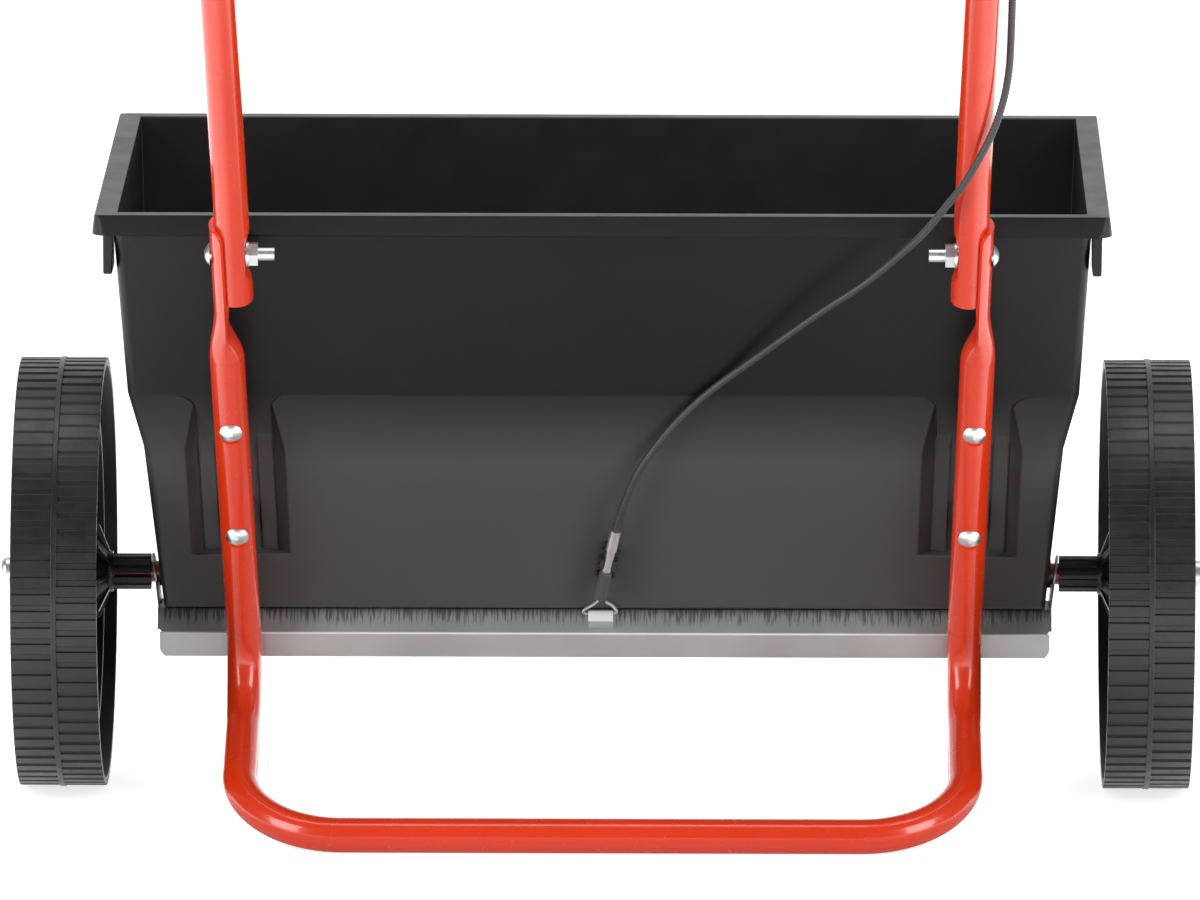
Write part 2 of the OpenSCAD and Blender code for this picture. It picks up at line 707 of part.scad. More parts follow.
module dose_housing() color_black() on_pivot() difference() {
    union() {
        translate([0, 0, case_off]) difference() {
            linear_extrude(case_deep) case_2d(0);
            translate([0, 0, 2.4]) linear_extrude(case_deep) case_2d(2.2);
        }
        // Block that clamps on the tube
        translate([clamp_x - clamp_half - 3.5, clamp_y - clamp_len / 2, tube_off + 0.6])
            cube([2 * clamp_half + 7, clamp_len, case_off - tube_off]);
        translate([0, 0, case_off + 1]) cylinder(r = 6, h = 4.4);
        for (p = screw_posts) translate([p[0], p[1], case_off + 1])
            cylinder(r = 3.4, h = case_deep - 1);
    }
    translate([clamp_x, 0, tube_off]) rotate([90, 0, 0])
        cylinder(r = tube_r + run_clear, h = 3 * case_l, center = true);
    for (x = [-1, 1]) translate([clamp_x + x * clamp_half, clamp_y, tube_off - 1])
        cylinder(r = 1.6 + press_gap, h = 12, $fn = 32);
    cylinder(r = 2.5 + press_gap, h = 80);
    for (p = screw_posts) translate([p[0], p[1], case_off + 5])
        cylinder(r = 1.2 + press_gap, h = 20, $fn = 32);
    translate([cable_in_x - pivot_x, 7 - case_down, cable_in_off]) rotate([90, 0, 0])
        cylinder(r = 3.05, h = 20, $fn = 32);
}

module scale_cover() color_black() on_pivot() translate([0, 0, cover_off]) difference() {
    union() {
        linear_extrude(cover_t) case_2d(0);
        // Raised arc that carries the scale
        translate([0, 0, cover_t - 0.01]) linear_extrude(0.6) intersection() {
            ring_2d(40, 30);
            polygon([[0, 0], [60 * cos(55), 60 * sin(55)], [0, 70],
                [-60 * cos(55), 60 * sin(55)]]);
        }
    }
    translate([0, 0, -1]) cylinder(r = 7.3, h = 10);
    for (p = screw_posts) translate([p[0], p[1], -1]) cylinder(r = 1.6, h = 10, $fn = 32);
}

module cover_screws() color(zinc) on_pivot() for (p = screw_posts)
    translate([p[0], p[1], cover_off + cover_t]) {
        dome(5.4, 1.7);
        translate([0, 0, -9]) cylinder(r = 1.2, h = 9, $fn = 32);
    }

strap_half = clamp_len / 2 - 1;
module clamp_strap() color(zinc) on_pivot() translate([clamp_x, clamp_y, tube_off]) difference() {
    rotate([90, 0, 0]) linear_extrude(2 * strap_half, center = true) {
        intersection() {
            ring_2d(tube_r + 1.6, tube_r + run_clear);
            translate([-50, -50]) square([100, 50.4]);
        }
        for (x = [-1, 1]) translate([x * (tube_r + 5.6) - 5, -1.2]) square([10, 1.6]);
    }
    for (x = [-1, 1]) translate([x * clamp_half, 0, -5]) cylinder(r = 1.8, h = 10, $fn = 32);
}

module clamp_screws() color(zinc) on_pivot() for (x = [-1, 1])
    translate([clamp_x + x * clamp_half, clamp_y, tube_off - 1.2]) {
        mirror([0, 0, 1]) dome(6, 2);
        cylinder(r = 1.6, h = 9.5, $fn = 32);
    }

lever_off = cover_off + cover_t + 0.9;
lever_t = 4;
module pivot_bolt() color(zinc) on_pivot() {
    translate([0, 0, lever_off + lever_t + 0.4]) dome(9, 2.6);
    translate([0, 0, case_off - 0.6]) cylinder(r = 2.5, h = lever_off + lever_t + 1 - case_off);
}

// The lever leans to the left at rest, with the shutter open
rest_turn = lever_turn / 2;
module dosing_lever() color("orangered") on_pivot() rotate([0, 0, rest_turn]) difference() {
    union() {
        translate([0, 0, lever_off - 4.4]) cylinder(r = 7, h = lever_t + 4.4);
        translate([0, 0, lever_off]) cylinder(r = 9, h = lever_t);
        translate([0, 0, lever_off]) linear_extrude(lever_t)
            polygon([[-7, 0], [7, 0], [3.6, lever_len - 8], [-3.6, lever_len - 8]]);
        translate([0, lever_len - 8, lever_off]) cylinder(r = 3.6, h = lever_t + 6);
    }
    cylinder(r = 2.5 + run_clear, h = 100);
}

module lever_knob() color_black() on_pivot() rotate([0, 0, rest_turn])
    translate([0, lever_len - 8, lever_off + lever_t + 0.5]) difference() {
        rotate_extrude() difference() {
            union() {
                square([knob_d / 2 - 3, 11]);
                translate([0, 3]) square([knob_d / 2, 5]);
                for (z = [3, 8]) translate([knob_d / 2 - 3, z]) circle(3);
            }
        }
        translate([0, 0, -1]) cylinder(r = 3.6 + run_clear, h = 7);
    }

cam_off = case_in + 3.6;
cam_t = 3.6;
module cable_cam() color("dimgray") on_pivot() rotate([0, 0, rest_turn])
    translate([0, 0, cam_off]) difference() {
        union() {
            cylinder(r = 6.8, h = lever_off - 4.6 - cam_off);
            translate([0, -4.5, 0]) cube([nipple_r, 9, cam_t]);
            translate([nipple_r, 0, 0]) cylinder(r = 4.5, h = cam_t);
        }
        translate([0, 0, -1]) cylinder(r = 2.5 + run_clear, h = 30);
        translate([nipple_r, 0, -1]) cylinder(r = 2.4, h = 10);
    }

module cable_nipple() color(zinc) on_pivot() rotate([0, 0, rest_turn])
    translate([nipple_r, 0, cam_off - 0.6]) cylinder(r = 2.35, h = cam_t + 1);

// Bowden cable

module on_wall_point(p) on_wall() translate([p[0], -p[1], p[2]]) children();

module cable_adjuster() color(zinc) on_wall_point([cable_in_x, cable_in_off, case_low_s])
    difference() {
        union() {
            translate([0, 0, -9]) cylinder(r = 3, h = 15, $fn = 32);
            translate([0, 0, -4]) hexagon(8, 3.8);
            translate([0, 0, -11]) cylinder(r = 2.6, h = 3, $fn = 32);
        }
        translate([0, 0, -12]) cylinder(r = cable_d / 2 + 2 * run_clear, h = 9, $fn = 32);
        translate([0, 0, -20]) cylinder(r = cable_bore, h = 40, $fn = 32);
    }

// Smooth curve through a route: a point at share f between points 1 and 2 of four
function spline(p, f) = 0.5 * (2 * p[1] + (p[2] - p[0]) * f
    + (2 * p[0] - 5 * p[1] + 4 * p[2] - p[3]) * f * f
    + (3 * p[1] - p[0] - 3 * p[2] + p[3]) * f * f * f);
function smooth(path, n) = [for (i = [1:len(path) - 3])
    for (k = [0:i < len(path) - 3 ? n - 1 : n])
        spline([for (j = [-1:2]) path[i + j]], k / n)];
function unit(v) = v / norm(v);
function dir_at(p, i) = unit(p[min(i + 1, len(p) - 1)] - p[max(i - 1, 0)]);

// A round cord along points, with ref never along it
module cord(p, r, sides, ref) skin([
    for (i = [0:len(p) - 1]) let (
        d = dir_at(p, i),
        side = unit(cross(d, ref)),
        up = cross(side, d))
    [for (k = [0:sides - 1]) let (a = 360 * k / sides)
        p[i] + (side * cos(a) - up * sin(a)) * r]]);

adjuster_pt = [cable_in_x, cable_in_off, case_low_s - 3.2];
ferrule_top = [ferrule_x + (ferrule_len - 4) * sin(ferrule_tilt), ferrule_off,
    ferrule_s + (ferrule_len - 4) * cos(ferrule_tilt)];
cable_all = concat([adjuster_pt + [0, 0, 14], adjuster_pt, adjuster_pt - [0, 0, 11],
    adjuster_pt - [0, 0.3, 22]], cable_route,
    [ferrule_top, ferrule_top - [14 * sin(ferrule_tilt), 0, 14 * cos(ferrule_tilt)]]);
cable_pts = [for (p = smooth(cable_all, 2)) [p[0], -p[1], p[2]]];

module cable_sheath() color_black() on_wall() cord(cable_pts, cable_d / 2, 8, [0, 1, 0.1]);

// Frame of the cable's lower end: Z runs up along the ferrule, 0 at its lower end
module at_ferrule() on_wall_point([ferrule_x, ferrule_off, ferrule_s])
    rotate([0, ferrule_tilt, 0]) children();

module cable_ferrule() color(zinc) at_ferrule() difference() {
    union() {
        translate([0, 0, 12.5]) cylinder(d = 5.2, h = ferrule_len - 12.5, $fn = 32);
        cylinder(d = 4.2, h = 12.6, $fn = 32);
    }
    translate([0, 0, ferrule_len - 4]) cylinder(d = cable_d + 0.1, h = 9, $fn = 32);
    translate([0, 0, -1]) cylinder(r = cable_bore, h = 40, $fn = 32);
}

clip_off = ferrule_off - bulge;
module cable_clip() color_black() at_ferrule() difference() {
    union() {
        // Foot that stands on the raised panel, and its row of teeth on both sides
        translate([-3, 1.2, -6]) cube([6, clip_off - 1.3, 18]);
        for (x = [-1, 1]) for (z = [-4, 0.5, 5, 9.5])
            translate([x * 3.5, 3.4, z]) rotate([90, 0, 0]) cylinder(r = 1.35, h = 1.6, $fn = 24);
        translate([-3.6, -1.4, 2]) cube([7.2, 3, 5]);
    }
    translate([0, 0, -30]) cylinder(d = 4.2 + 0.1, h = 60, $fn = 32);
    translate([0, 0, -30]) cylinder(d = 8.4, h = 30.2, $fn = 32);
}

module cable_core() color(zinc) at_ferrule() translate([0, 0, -12])
    cylinder(r = core_r, h = 30, $fn = 24);

module cable_boot() color_black() at_ferrule() translate([0, 0, -0.1 - boot_len]) difference() {
    rotate_extrude($fn = 32) polygon([[0, 0], [3.15, 0], [3.35, 0.8], [2.9, boot_len - 0.6],
        [2.5, boot_len], [0, boot_len]]);
    translate([0, 0, 3.4]) cylinder(r = core_r + press_gap, h = boot_len, $fn = 24);
    translate([0, 0, -1]) cylinder(r1 = 2.85, r2 = 2.35, h = 4, $fn = 32);
}

// The hook's wire: distance from the middle, behind the axle and above it
hook_r = 0.7;
hook_path = [[-1.8, 40, 3], [-1.8, 36.2, -0.6], [-2.6, 32, -5.4], [-6, 28.4, -9], [-9, 25.6, -11.4],
    [-9.7, 22.8, -13.6], [-8, 21.4, -14.6], [0, 21.2, -14.6], [4.4, 21.6, -14.6], [5.6, 24.6, -12.6],
    [4, 27.4, -9.4], [0.6, 29.6, -6.8], [-0.4, 31, -5]];
module cable_hook() color(zinc) at_axle() cord([for (p = smooth(hook_path, 3)) [p[0], -p[1], p[2]]],
    hook_r, 12, [0, 1, 1]);

// Shutter

// Sheet metal along a line of points given behind and above the axle
module strip(path) {
    for (i = [0:len(path) - 2]) let (d = path[i + 1] - path[i])
        translate(path[i]) rotate(atan2(d[1], d[0])) translate([0, -sheet / 2])
            square([norm(d), sheet]);
    for (p = path) translate(p) circle(sheet / 2, $fn = 24);
}

arc_back = 35;
arc_front = 26;
back_end = [shutter_mid * sin(arc_back), -shutter_mid * cos(arc_back)];
front_end = [-shutter_mid * sin(arc_front), -shutter_mid * cos(arc_front)];
band_top = [18, -13.6];
fold = [24, -23.5];
lip_end = [21.7, -35.2];
front_drop = [-9.4, -24.5];
arm_path = [front_drop, [-(spring_t - 9), -24.5], [-(spring_t + 0.4), eye_u - 5],
    [-(spring_t + 0.4), eye_u + 4]];
// Bridge pressed out of the band, which the cable's hook passes through
bridge = [[18.2, -13.9], [22.6, -12.8], [26, -17], [22.7, -21.4]];
ear_tilt = 8.5;
ear_bend = -13.5;
corner_in = 5.4;
lip_in = 1;

// Ear: it hangs on the axle and leans out with the hopper's end
module ear() {
    low = [[fold[0] - 1, fold[1] + 1.2], band_top, [band_top[0] - 3, ear_bend], [-10, ear_bend],
        [front_end[0], front_end[1] - 1], front_drop];
    translate([shutter_x - sheet, 0, 0]) rotate([90, 0, 90]) linear_extrude(sheet)
        mirror([1, 0]) polygon(low);
    translate([shutter_x - sheet / 2, 0, ear_bend]) rotate([0, ear_tilt, 0])
        translate([-sheet / 2, 0, -ear_bend]) rotate([90, 0, 90]) linear_extrude(sheet)
            mirror([1, 0]) {
                circle(ear_r);
                polygon([[-ear_r * 0.9, -2], [-10, ear_bend - 1], [15, ear_bend - 1],
                    [ear_r * 0.95, -3]]);
            }
}

// Plan of a sheet with rounded lower corners: half-length and lower edge
module low_plan(x, low) {
    corner = [for (a = [0:7.5:90]) [x - corner_in + corner_in * sin(a),
        low + corner_in - corner_in * cos(a)]];
    polygon(mirrored(concat(corner, [[x, low + 30]])));
}

module shutter() color(steel) at_axle() difference() {
    union() {
        along_x(2 * ear_x) mirror([1, 0]) {
            intersection() {
                ring_2d(shutter_in + sheet, shutter_in);
                polygon([[0, 0], 40 * [-sin(arc_front), -cos(arc_front)], [0, -60],
                    40 * [sin(arc_back), -cos(arc_back)]]);
            }
            strip([front_end, front_drop]);
        }
        // Band and lip, with rounded lower corners
        intersection() {
            difference() {
                along_x(2 * rim_len) mirror([1, 0]) strip([back_end, band_top, fold]);
                translate([tongue_x, -25, -17.2]) cube([tongue_w, 20, 6.4], center = true);
            }
            along_y(200) low_plan(shutter_x, fold[1] - sheet);
        }
        intersection() {
            along_x(2 * rim_len) mirror([1, 0]) {
                d = lip_end - fold;
                translate(fold) rotate(atan2(d[1], d[0])) translate([-0.1, -sheet / 2])
                    square([norm(d), sheet]);
            }
            along_y(200) low_plan(shutter_x - lip_in, lip_end[1] - sheet);
        }
        translate([tongue_x, 0, 0]) along_x(tongue_w) mirror([1, 0]) strip(bridge);
        // Arm that the return spring pulls up
        along_x(tongue_w) mirror([1, 0]) strip(arm_path);
        both_sides() ear();
    }
    along_x(2 * rim_len) circle(axle_r + run_clear);
    // Outlet slots under the trough
    slots = floor((end_foot_x - 20) / slot_pitch);
    for (i = [-slots:slots])
        translate([i * slot_pitch - slot_len / 2, -slot_w / 2, -shutter_in - 5])
            cube([slot_len, slot_w, 10]);
    // Eye for the spring's lower hook
    translate([0, spring_t, eye_u]) rotate([90, 0, 0])
        cylinder(r = 1.5, h = 8, center = true, $fn = 24);
}

// The return spring's lower hook goes through the arm's eye, its upper one around the lug
spring_len = spring_u - eye_u;
spring_wire = 0.6;
spring_r = 3.2;
hook_y = 1.6;
module return_spring() color(zinc) at_axle() translate([0, spring_t, eye_u]) {
    coil_low = 9;
    coil = spring_len - coil_low - 10;
    half = lug_w / 2 + 1.2;
    translate([0, 0, coil_low]) difference() {
        cylinder(r = spring_r + spring_wire, h = coil, $fn = 32);
        translate([0, 0, 1]) cylinder(r = spring_r - spring_wire, h = coil - 2, $fn = 32);
    }
    // Lower hook, through the eye
    translate([0, -hook_y, -spring_wire]) cylinder(r = spring_wire, h = coil_low + 1, $fn = 16);
    translate([0, -hook_y - spring_wire, 0]) rotate([-90, 0, 0])
        cylinder(r = spring_wire, h = 2 * hook_y + 1.4, $fn = 16);
    translate([0, hook_y + 0.2, -spring_wire]) cylinder(r = spring_wire, h = 4, $fn = 16);
    // Upper hook, around the lug
    translate([0, 0, spring_len - 11]) cylinder(r = spring_wire, h = 5.6, $fn = 16);
    translate([-half - spring_wire, 0, spring_len - 5.6]) rotate([0, 90, 0])
        cylinder(r = spring_wire, h = 2 * (half + spring_wire), $fn = 16);
    for (x = [-1, 1]) translate([x * half, 0, spring_len - 6.2])
        cylinder(r = spring_wire - 0.02, h = 6.8, $fn = 16);
    translate([-half - spring_wire, 0, spring_len]) rotate([0, 90, 0])
        cylinder(r = spring_wire, h = 2 * (half + spring_wire), $fn = 16);
}

// Axle

module axle() color("firebrick") at_axle() rotate([0, 90, 0]) difference() {
    cylinder(r = axle_r, h = axle_len, center = true);
    for (x = [-pin_x]) translate([0, 0, x]) rotate([90, 0, 0])
        cylinder(d = pin_d, h = 20, center = true, $fn = 32);
}

blade_r = trough_r - 1.2;
agitator_n = 9;
agitator_pitch = (end_foot_x - 36) / 4;
module agitator() color_black() at_axle()
    for (i = [0:agitator_n - 1]) translate([(i - (agitator_n - 1) / 2) * agitator_pitch, 0, 0])
        rotate([90 * (i % 2) / 2, 0, 0]) rotate([0, 90, 0]) difference() {
            union() {
                cylinder(r = axle_r + 2, h = 24, center = true);
                for (a = [0:90:270]) rotate(a) translate([axle_r + 0.5, -1, -8])
                    cube([blade_r - axle_r - 0.5, 2, 16]);
            }
            cylinder(r = axle_r + press_gap, h = 60, center = true);
        }

pin_x = wheel_in_x + 4;
module drive_pin() color(zinc) at_axle() translate([-pin_x, 0, 0]) rotate([90, 0, 0])
    cylinder(d = pin_d - 2 * press_gap, h = sleeve_d - 2, center = true, $fn = 32);

module axle_caps() color(zinc) at_axle() both_sides()
    translate([cap_x, 0, 0]) rotate([0, 90, 0]) rotate_extrude() {
        r = cap_d / 2;
        deep = cap_deep + press_gap;
        polygon([[axle_r + press_gap, 0], [r - 0.3, 0], [r, 0.3], [r, 5], [r - 0.5, 6.2],
            [r - 1.5, 7.1], [r - 3, 7.7], [r - 4.7, 8], [0, 8], [0, deep], [axle_r + press_gap, deep]]);
    }

module axle_washers() color(zinc) at_axle() both_sides()
    translate([washer_x, 0, 0]) rotate([0, 90, 0]) difference() {
        cylinder(d = cap_d + 2, h = 1);
        translate([0, 0, -1]) cylinder(r = axle_r + run_clear, h = 4);
    }

// Wheels: Z runs outwards along the axle, 0 at the rim's inner edge

cone_top = 7;
cone_r = 22;
collar_z = -3;
module tread_2d(phase) {
    step = 360 / tread_count;
    r = wheel_d / 2 - 0.4;
    polygon([for (i = [0:tread_count - 1]) for (c = [[0, 1], [0.6, 1], [0.66, 0], [0.94, 0]])
        let (a = (i + c[0] + phase) * step, q = r - (1 - c[1]) * tread_depth)
        [q * cos(a), q * sin(a)]]);
}

module wheel_body() {
    r = wheel_d / 2;
    bed = r - tread_depth - 0.4;
    half = (wheel_w - 2.4) / 2;
    sleeve_z = sleeve_end_x - wheel_in_x;
    difference() {
        union() {
            rotate_extrude($fn = 160) difference() {
                union() {
                    translate([bed - rim_wall, 0]) square([rim_wall + 0.05, wheel_w]);
                    translate([bed - 0.5, half]) square([r - bed + 0.5, 2.4]);
                    translate([axle_r + run_clear, disc_in]) square([bed - 1 - axle_r, disc_t]);
                    translate([ring_r - 1.3, 5]) square([2.6, disc_in - 4]);
                    translate([axle_r + run_clear, sleeve_z])
                        square([sleeve_d / 2 - axle_r - run_clear - 0.7, collar_z + 1 - sleeve_z]);
                    translate([axle_r + run_clear, collar_z])
                        square([2.6, hub_out - collar_z]);
                    polygon([[axle_r + run_clear, collar_z], [9.4, collar_z],
                        [9.6, -1], [cone_r, cone_top], [cone_r, cone_top + 2.6],
                        [axle_r + run_clear, cone_top + 2.6]]);
                    translate([cone_r - 2.4, cone_top]) square([2.4, disc_in - cone_top + 1]);
                    translate([axle_r + run_clear, disc_in]) square([12, hub_out - disc_in]);
                }
            }
            for (side = [0, 1]) translate([0, 0, side * (half + 2.4)])
                linear_extrude(half) difference() {
                    tread_2d(side / 2);
                    circle(bed - 0.5, $fn = 160);
                }
            // Gussets on the hub's cone and ribs out to the ring wall
            for (a = [0:45:315]) rotate(a) {
                rotate([90, 0, 0]) linear_extrude(1.8, center = true)
                    polygon([[8, -2.2], [cone_r, 3.2], [cone_r, 8], [8, 8]]);
                translate([cone_r - 1, -1, 12]) cube([ring_r - cone_r, 2, disc_in - 11]);
            }
            // Flutes of the sleeve
            for (a = [15:30:345]) rotate(a) translate([sleeve_d / 2 - 1.4, -1.15, sleeve_z])
                cube([1.4, 2.3, collar_z - sleeve_z + 0.5]);
        }
        // Mouth of the sleeve, and its slot
        translate([0, 0, sleeve_z - 1]) cylinder(r = axle_r + 1, h = 3.4);
        translate([-0.7, 0, sleeve_z - 1]) cube([1.4, sleeve_d, collar_z - sleeve_z]);
        translate([0, 0, pin_x - wheel_in_x]) rotate([90, 0, 0])
            cylinder(d = pin_d, h = sleeve_d - 1.9, center = true, $fn = 32);
    }
}

module wheel_right() color_black() at_axle() translate([wheel_in_x, 0, 0])
    rotate([0, 90, 0]) wheel_body();
module wheel_left() color_black() mirror([1, 0, 0]) at_axle() translate([wheel_in_x, 0, 0])
    rotate([0, 90, 0]) rotate(180) wheel_body();

hopper();
axle_bushes();
stand_frame();
handle_tube_left();
handle_tube_right();
upper_handle();
foam_grip();
frame_bolts();
frame_washers();
frame_nuts();
joint_bolts();
joint_nuts();
dose_housing();
scale_cover();
cover_screws();
clamp_strap();
clamp_screws();
pivot_bolt();
dosing_lever();
lever_knob();
cable_cam();
cable_nipple();
cable_adjuster();
cable_sheath();
cable_ferrule();
cable_clip();
cable_core();
cable_boot();
cable_hook();
shutter();
return_spring();
axle();
agitator();
drive_pin();
axle_caps();
axle_washers();
wheel_left();
wheel_right();
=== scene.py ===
"""Looks of the push-along drop spreader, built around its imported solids.

Metres. +Z is up, +Y is the way the spreader is pushed, the user stands at -Y.
"""

import json
import math

import bmesh
import bpy
from mathutils import Matrix, Vector


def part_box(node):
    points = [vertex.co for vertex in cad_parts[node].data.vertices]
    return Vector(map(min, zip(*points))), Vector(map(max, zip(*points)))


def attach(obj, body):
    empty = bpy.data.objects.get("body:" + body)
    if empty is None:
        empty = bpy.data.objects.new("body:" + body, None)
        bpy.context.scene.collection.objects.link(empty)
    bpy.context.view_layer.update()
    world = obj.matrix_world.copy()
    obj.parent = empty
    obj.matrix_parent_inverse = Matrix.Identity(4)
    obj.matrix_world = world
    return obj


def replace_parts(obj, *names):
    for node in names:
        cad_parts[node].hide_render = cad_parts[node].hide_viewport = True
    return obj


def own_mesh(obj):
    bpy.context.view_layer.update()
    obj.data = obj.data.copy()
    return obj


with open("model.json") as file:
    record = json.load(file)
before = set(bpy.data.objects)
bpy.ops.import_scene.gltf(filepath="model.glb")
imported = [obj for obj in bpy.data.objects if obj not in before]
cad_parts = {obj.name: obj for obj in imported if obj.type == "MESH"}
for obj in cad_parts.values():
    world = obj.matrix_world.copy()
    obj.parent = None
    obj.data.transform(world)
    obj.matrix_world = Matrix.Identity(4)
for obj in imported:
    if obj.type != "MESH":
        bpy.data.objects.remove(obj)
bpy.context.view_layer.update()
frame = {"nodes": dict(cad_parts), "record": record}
solids = frame["nodes"]

MM = 0.001


def middle(node):
    low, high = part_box(node)
    return (Vector(low) + Vector(high)) / 2


# The axle's middle is the point that everything is measured from
AXLE = middle("axle")
AXLE.x = 0.0
LEAN = math.radians(25)
WALL_BACK = 24.406 * MM
# Frame of the back wall: X along the axle, Y against the distance out, Z up along the wall
WALL = (Matrix.Translation(AXLE - Vector((0, WALL_BACK, 0)))
        @ Matrix.Rotation(LEAN, 4, "X"))


def linked(name, data):
    """A new object of some data, in the scene."""
    obj = bpy.data.objects.new(name, data)
    bpy.context.collection.objects.link(obj)
    return obj


# Camera

PHOTO_FROM = Vector((0.07077, -5.79236, 1.35869))
PHOTO_AT = Vector((-0.00249, 0.01298, 0.05547))
SENSOR_WIDTH, LENS = 36, 383.79
SIGHT = 60

camera_data = bpy.data.cameras.new("photo_camera")
camera_data.sensor_width = SENSOR_WIDTH
camera_data.lens = LENS
camera_data.clip_end = SIGHT
camera = linked("photo_camera", camera_data)
camera.location = AXLE + PHOTO_FROM
camera.rotation_euler = (PHOTO_AT - PHOTO_FROM).to_track_quat("-Z", "Y").to_euler()
bpy.context.scene.camera = camera
bpy.context.scene.view_settings.view_transform = "Standard"


# Shutter's band: its heights from the axle's middle, how it leans out on its way down, and how
# far behind the axle its plane would cross the axle's height
BAND_TOP, BAND_LOW, FOLD = -13.1 * MM, -22.0 * MM, -23.5 * MM
BAND_SLOPE = 6 / 9.9
BAND_OUT = 9.76 * MM
BRIDGE_MIDDLE = -17.0 * MM
SCUFF_STRETCH = (18, 1.3, 1.3)
# Greys of the scuffs, of the painted shade on the band above its fold, and of the painted
# highlights along the fold and on the bridge
SCUFF_GREY, BAND_SHADE_GREY, HIGHLIGHT_GREY = 0.10, 0.16, 0.8

# The hopper's painted light, a lighter grey for the light on its raised lower panels, begins at
# the one height and is full at the other
LIT_GREY_BEGINS, LIT_GREY_FULL = AXLE.z + 101 * MM, AXLE.z + 66 * MM

# The stretch of a noise that is drawn out to the full range
CLOSE, WIDE = (0.35, 0.65), (0.3, 0.7)
# Depths of the fine relief on plastic, plated steel and foam
GRAIN_DEEP, PLATE_DEEP, PORE_DEEP = 0.4 * MM, 0.3 * MM, 0.6 * MM


# Materials

def grey(value):
    return (value, value, value, 1.0)


class Paint:
    """A node material being made: its shader, and the nodes that feed it."""

    def __init__(self, name, scale=(1, 1, 1)):
        self.material = bpy.data.materials.new(name)
        self.material.use_nodes = True
        self.nodes = self.material.node_tree.nodes
        self.links = self.material.node_tree.links
        self.shader = self.nodes["Principled BSDF"]
        where = self.nodes.new("ShaderNodeTexCoord")
        self.place = where.outputs["Object"]
        mapping = self.nodes.new("ShaderNodeMapping")
        mapping.inputs["Scale"].default_value = scale
        self.links.new(self.place, mapping.inputs["Vector"])
        self.stretched = mapping.outputs["Vector"]

    def feed(self, value, socket):
        if isinstance(value, (int, float, tuple)):
            socket.default_value = value
        else:
            self.links.new(value, socket)

    def set(self, **values):
        for key, value in values.items():
            self.feed(value, self.shader.inputs[key.replace("_", " ")])

    def noise(self, scale, detail=3.0, roughness=0.55, vector=None):
        node = self.nodes.new("ShaderNodeTexNoise")
        node.inputs["Scale"].default_value = scale
        node.inputs["Detail"].default_value = detail
        node.inputs["Roughness"].default_value = roughness
        self.links.new(vector or self.stretched, node.inputs["Vector"])
        return node.outputs["Fac"]

    def axis(self, letter):
        split = self.nodes.new("ShaderNodeSeparateXYZ")
        self.links.new(self.place, split.inputs[0])
        return split.outputs[letter]

    def range(self, source, low, high, to_low=0.0, to_high=1.0):
        node = self.nodes.new("ShaderNodeMapRange")
        for key, value in (("From Min", low), ("From Max", high),
                           ("To Min", to_low), ("To Max", to_high)):
            node.inputs[key].default_value = value
        self.links.new(source, node.inputs["Value"])
        return node.outputs["Result"]

    def math(self, operation, one, two=0.0, clamp=False):
        node = self.nodes.new("ShaderNodeMath")
        node.operation = operation
        node.use_clamp = clamp
        self.feed(one, node.inputs[0])
        self.feed(two, node.inputs[1])
        return node.outputs[0]

    def mix(self, factor, one, two):
        node = self.nodes.new("ShaderNodeMix")
        node.data_type = "RGBA"
        for key, value in ((0, factor), (6, one), (7, two)):
            self.feed(value, node.inputs[key])
        return node.outputs[2]

    def soften(self, radius):
        """Edges catch the light as if rounded."""
        node = self.nodes.new("ShaderNodeBevel")
        node.samples = 6
        node.inputs["Radius"].default_value = radius
        self.links.new(node.outputs["Normal"], self.shader.inputs["Normal"])

    def bump(self, height, strength, distance):
        node = self.nodes.new("ShaderNodeBump")
        node.inputs["Strength"].default_value = strength
        node.inputs["Distance"].default_value = distance
        self.links.new(height, node.inputs["Height"])
        before = self.shader.inputs["Normal"].links
        if before:
            self.links.new(before[0].from_socket, node.inputs["Normal"])
        self.links.new(node.outputs["Normal"], self.shader.inputs["Normal"])


def moulded(name, dark, light, roughness_or_lit_grey, grain_scale, grain):
    """Moulded plastic: faint flow mottling, fine grain and slightly uneven gloss."""
    paint = Paint(name)
    paint.set(
        Base_Color=paint.mix(paint.range(paint.noise(9, 2), *CLOSE), dark, light),
        Roughness=paint.range(paint.noise(60, 4, 0.6), *WIDE, *roughness_or_lit_grey))
    paint.bump(paint.noise(grain_scale, 2), grain, GRAIN_DEEP)
    return paint.material


def hopper_plastic():
    """Smooth black walls, and painted light: towards the bottom, where the raised panels are, the
    colour turns a lighter grey.
    """
    paint = Paint("hopper_plastic")
    # Painted light: lower down the colour turns from the walls' black to a lighter grey, for the
    # light that the raised lower panels catch
    painted_light_low = paint.range(paint.axis("Z"), LIT_GREY_FULL, LIT_GREY_BEGINS, 1.0, 0.0)
    flow = paint.range(paint.noise(7, 2), *CLOSE)
    smooth = paint.mix(flow, grey(0.0035), grey(0.0055))
    roughness_or_lit_grey = paint.mix(flow, grey(0.058), grey(0.064))
    specks = paint.range(paint.noise(520, 2), 0.74, 0.8, 0.0, 0.12)
    colour = paint.mix(painted_light_low, smooth, roughness_or_lit_grey)
    paint.set(Base_Color=paint.mix(specks, colour, grey(0.12)),
              Roughness=paint.range(paint.noise(50, 4, 0.62), *WIDE, 0.36, 0.44),
              Specular_IOR_Level=0.3)
    paint.bump(paint.noise(850, 2), 0.10, GRAIN_DEEP)
    return paint.material


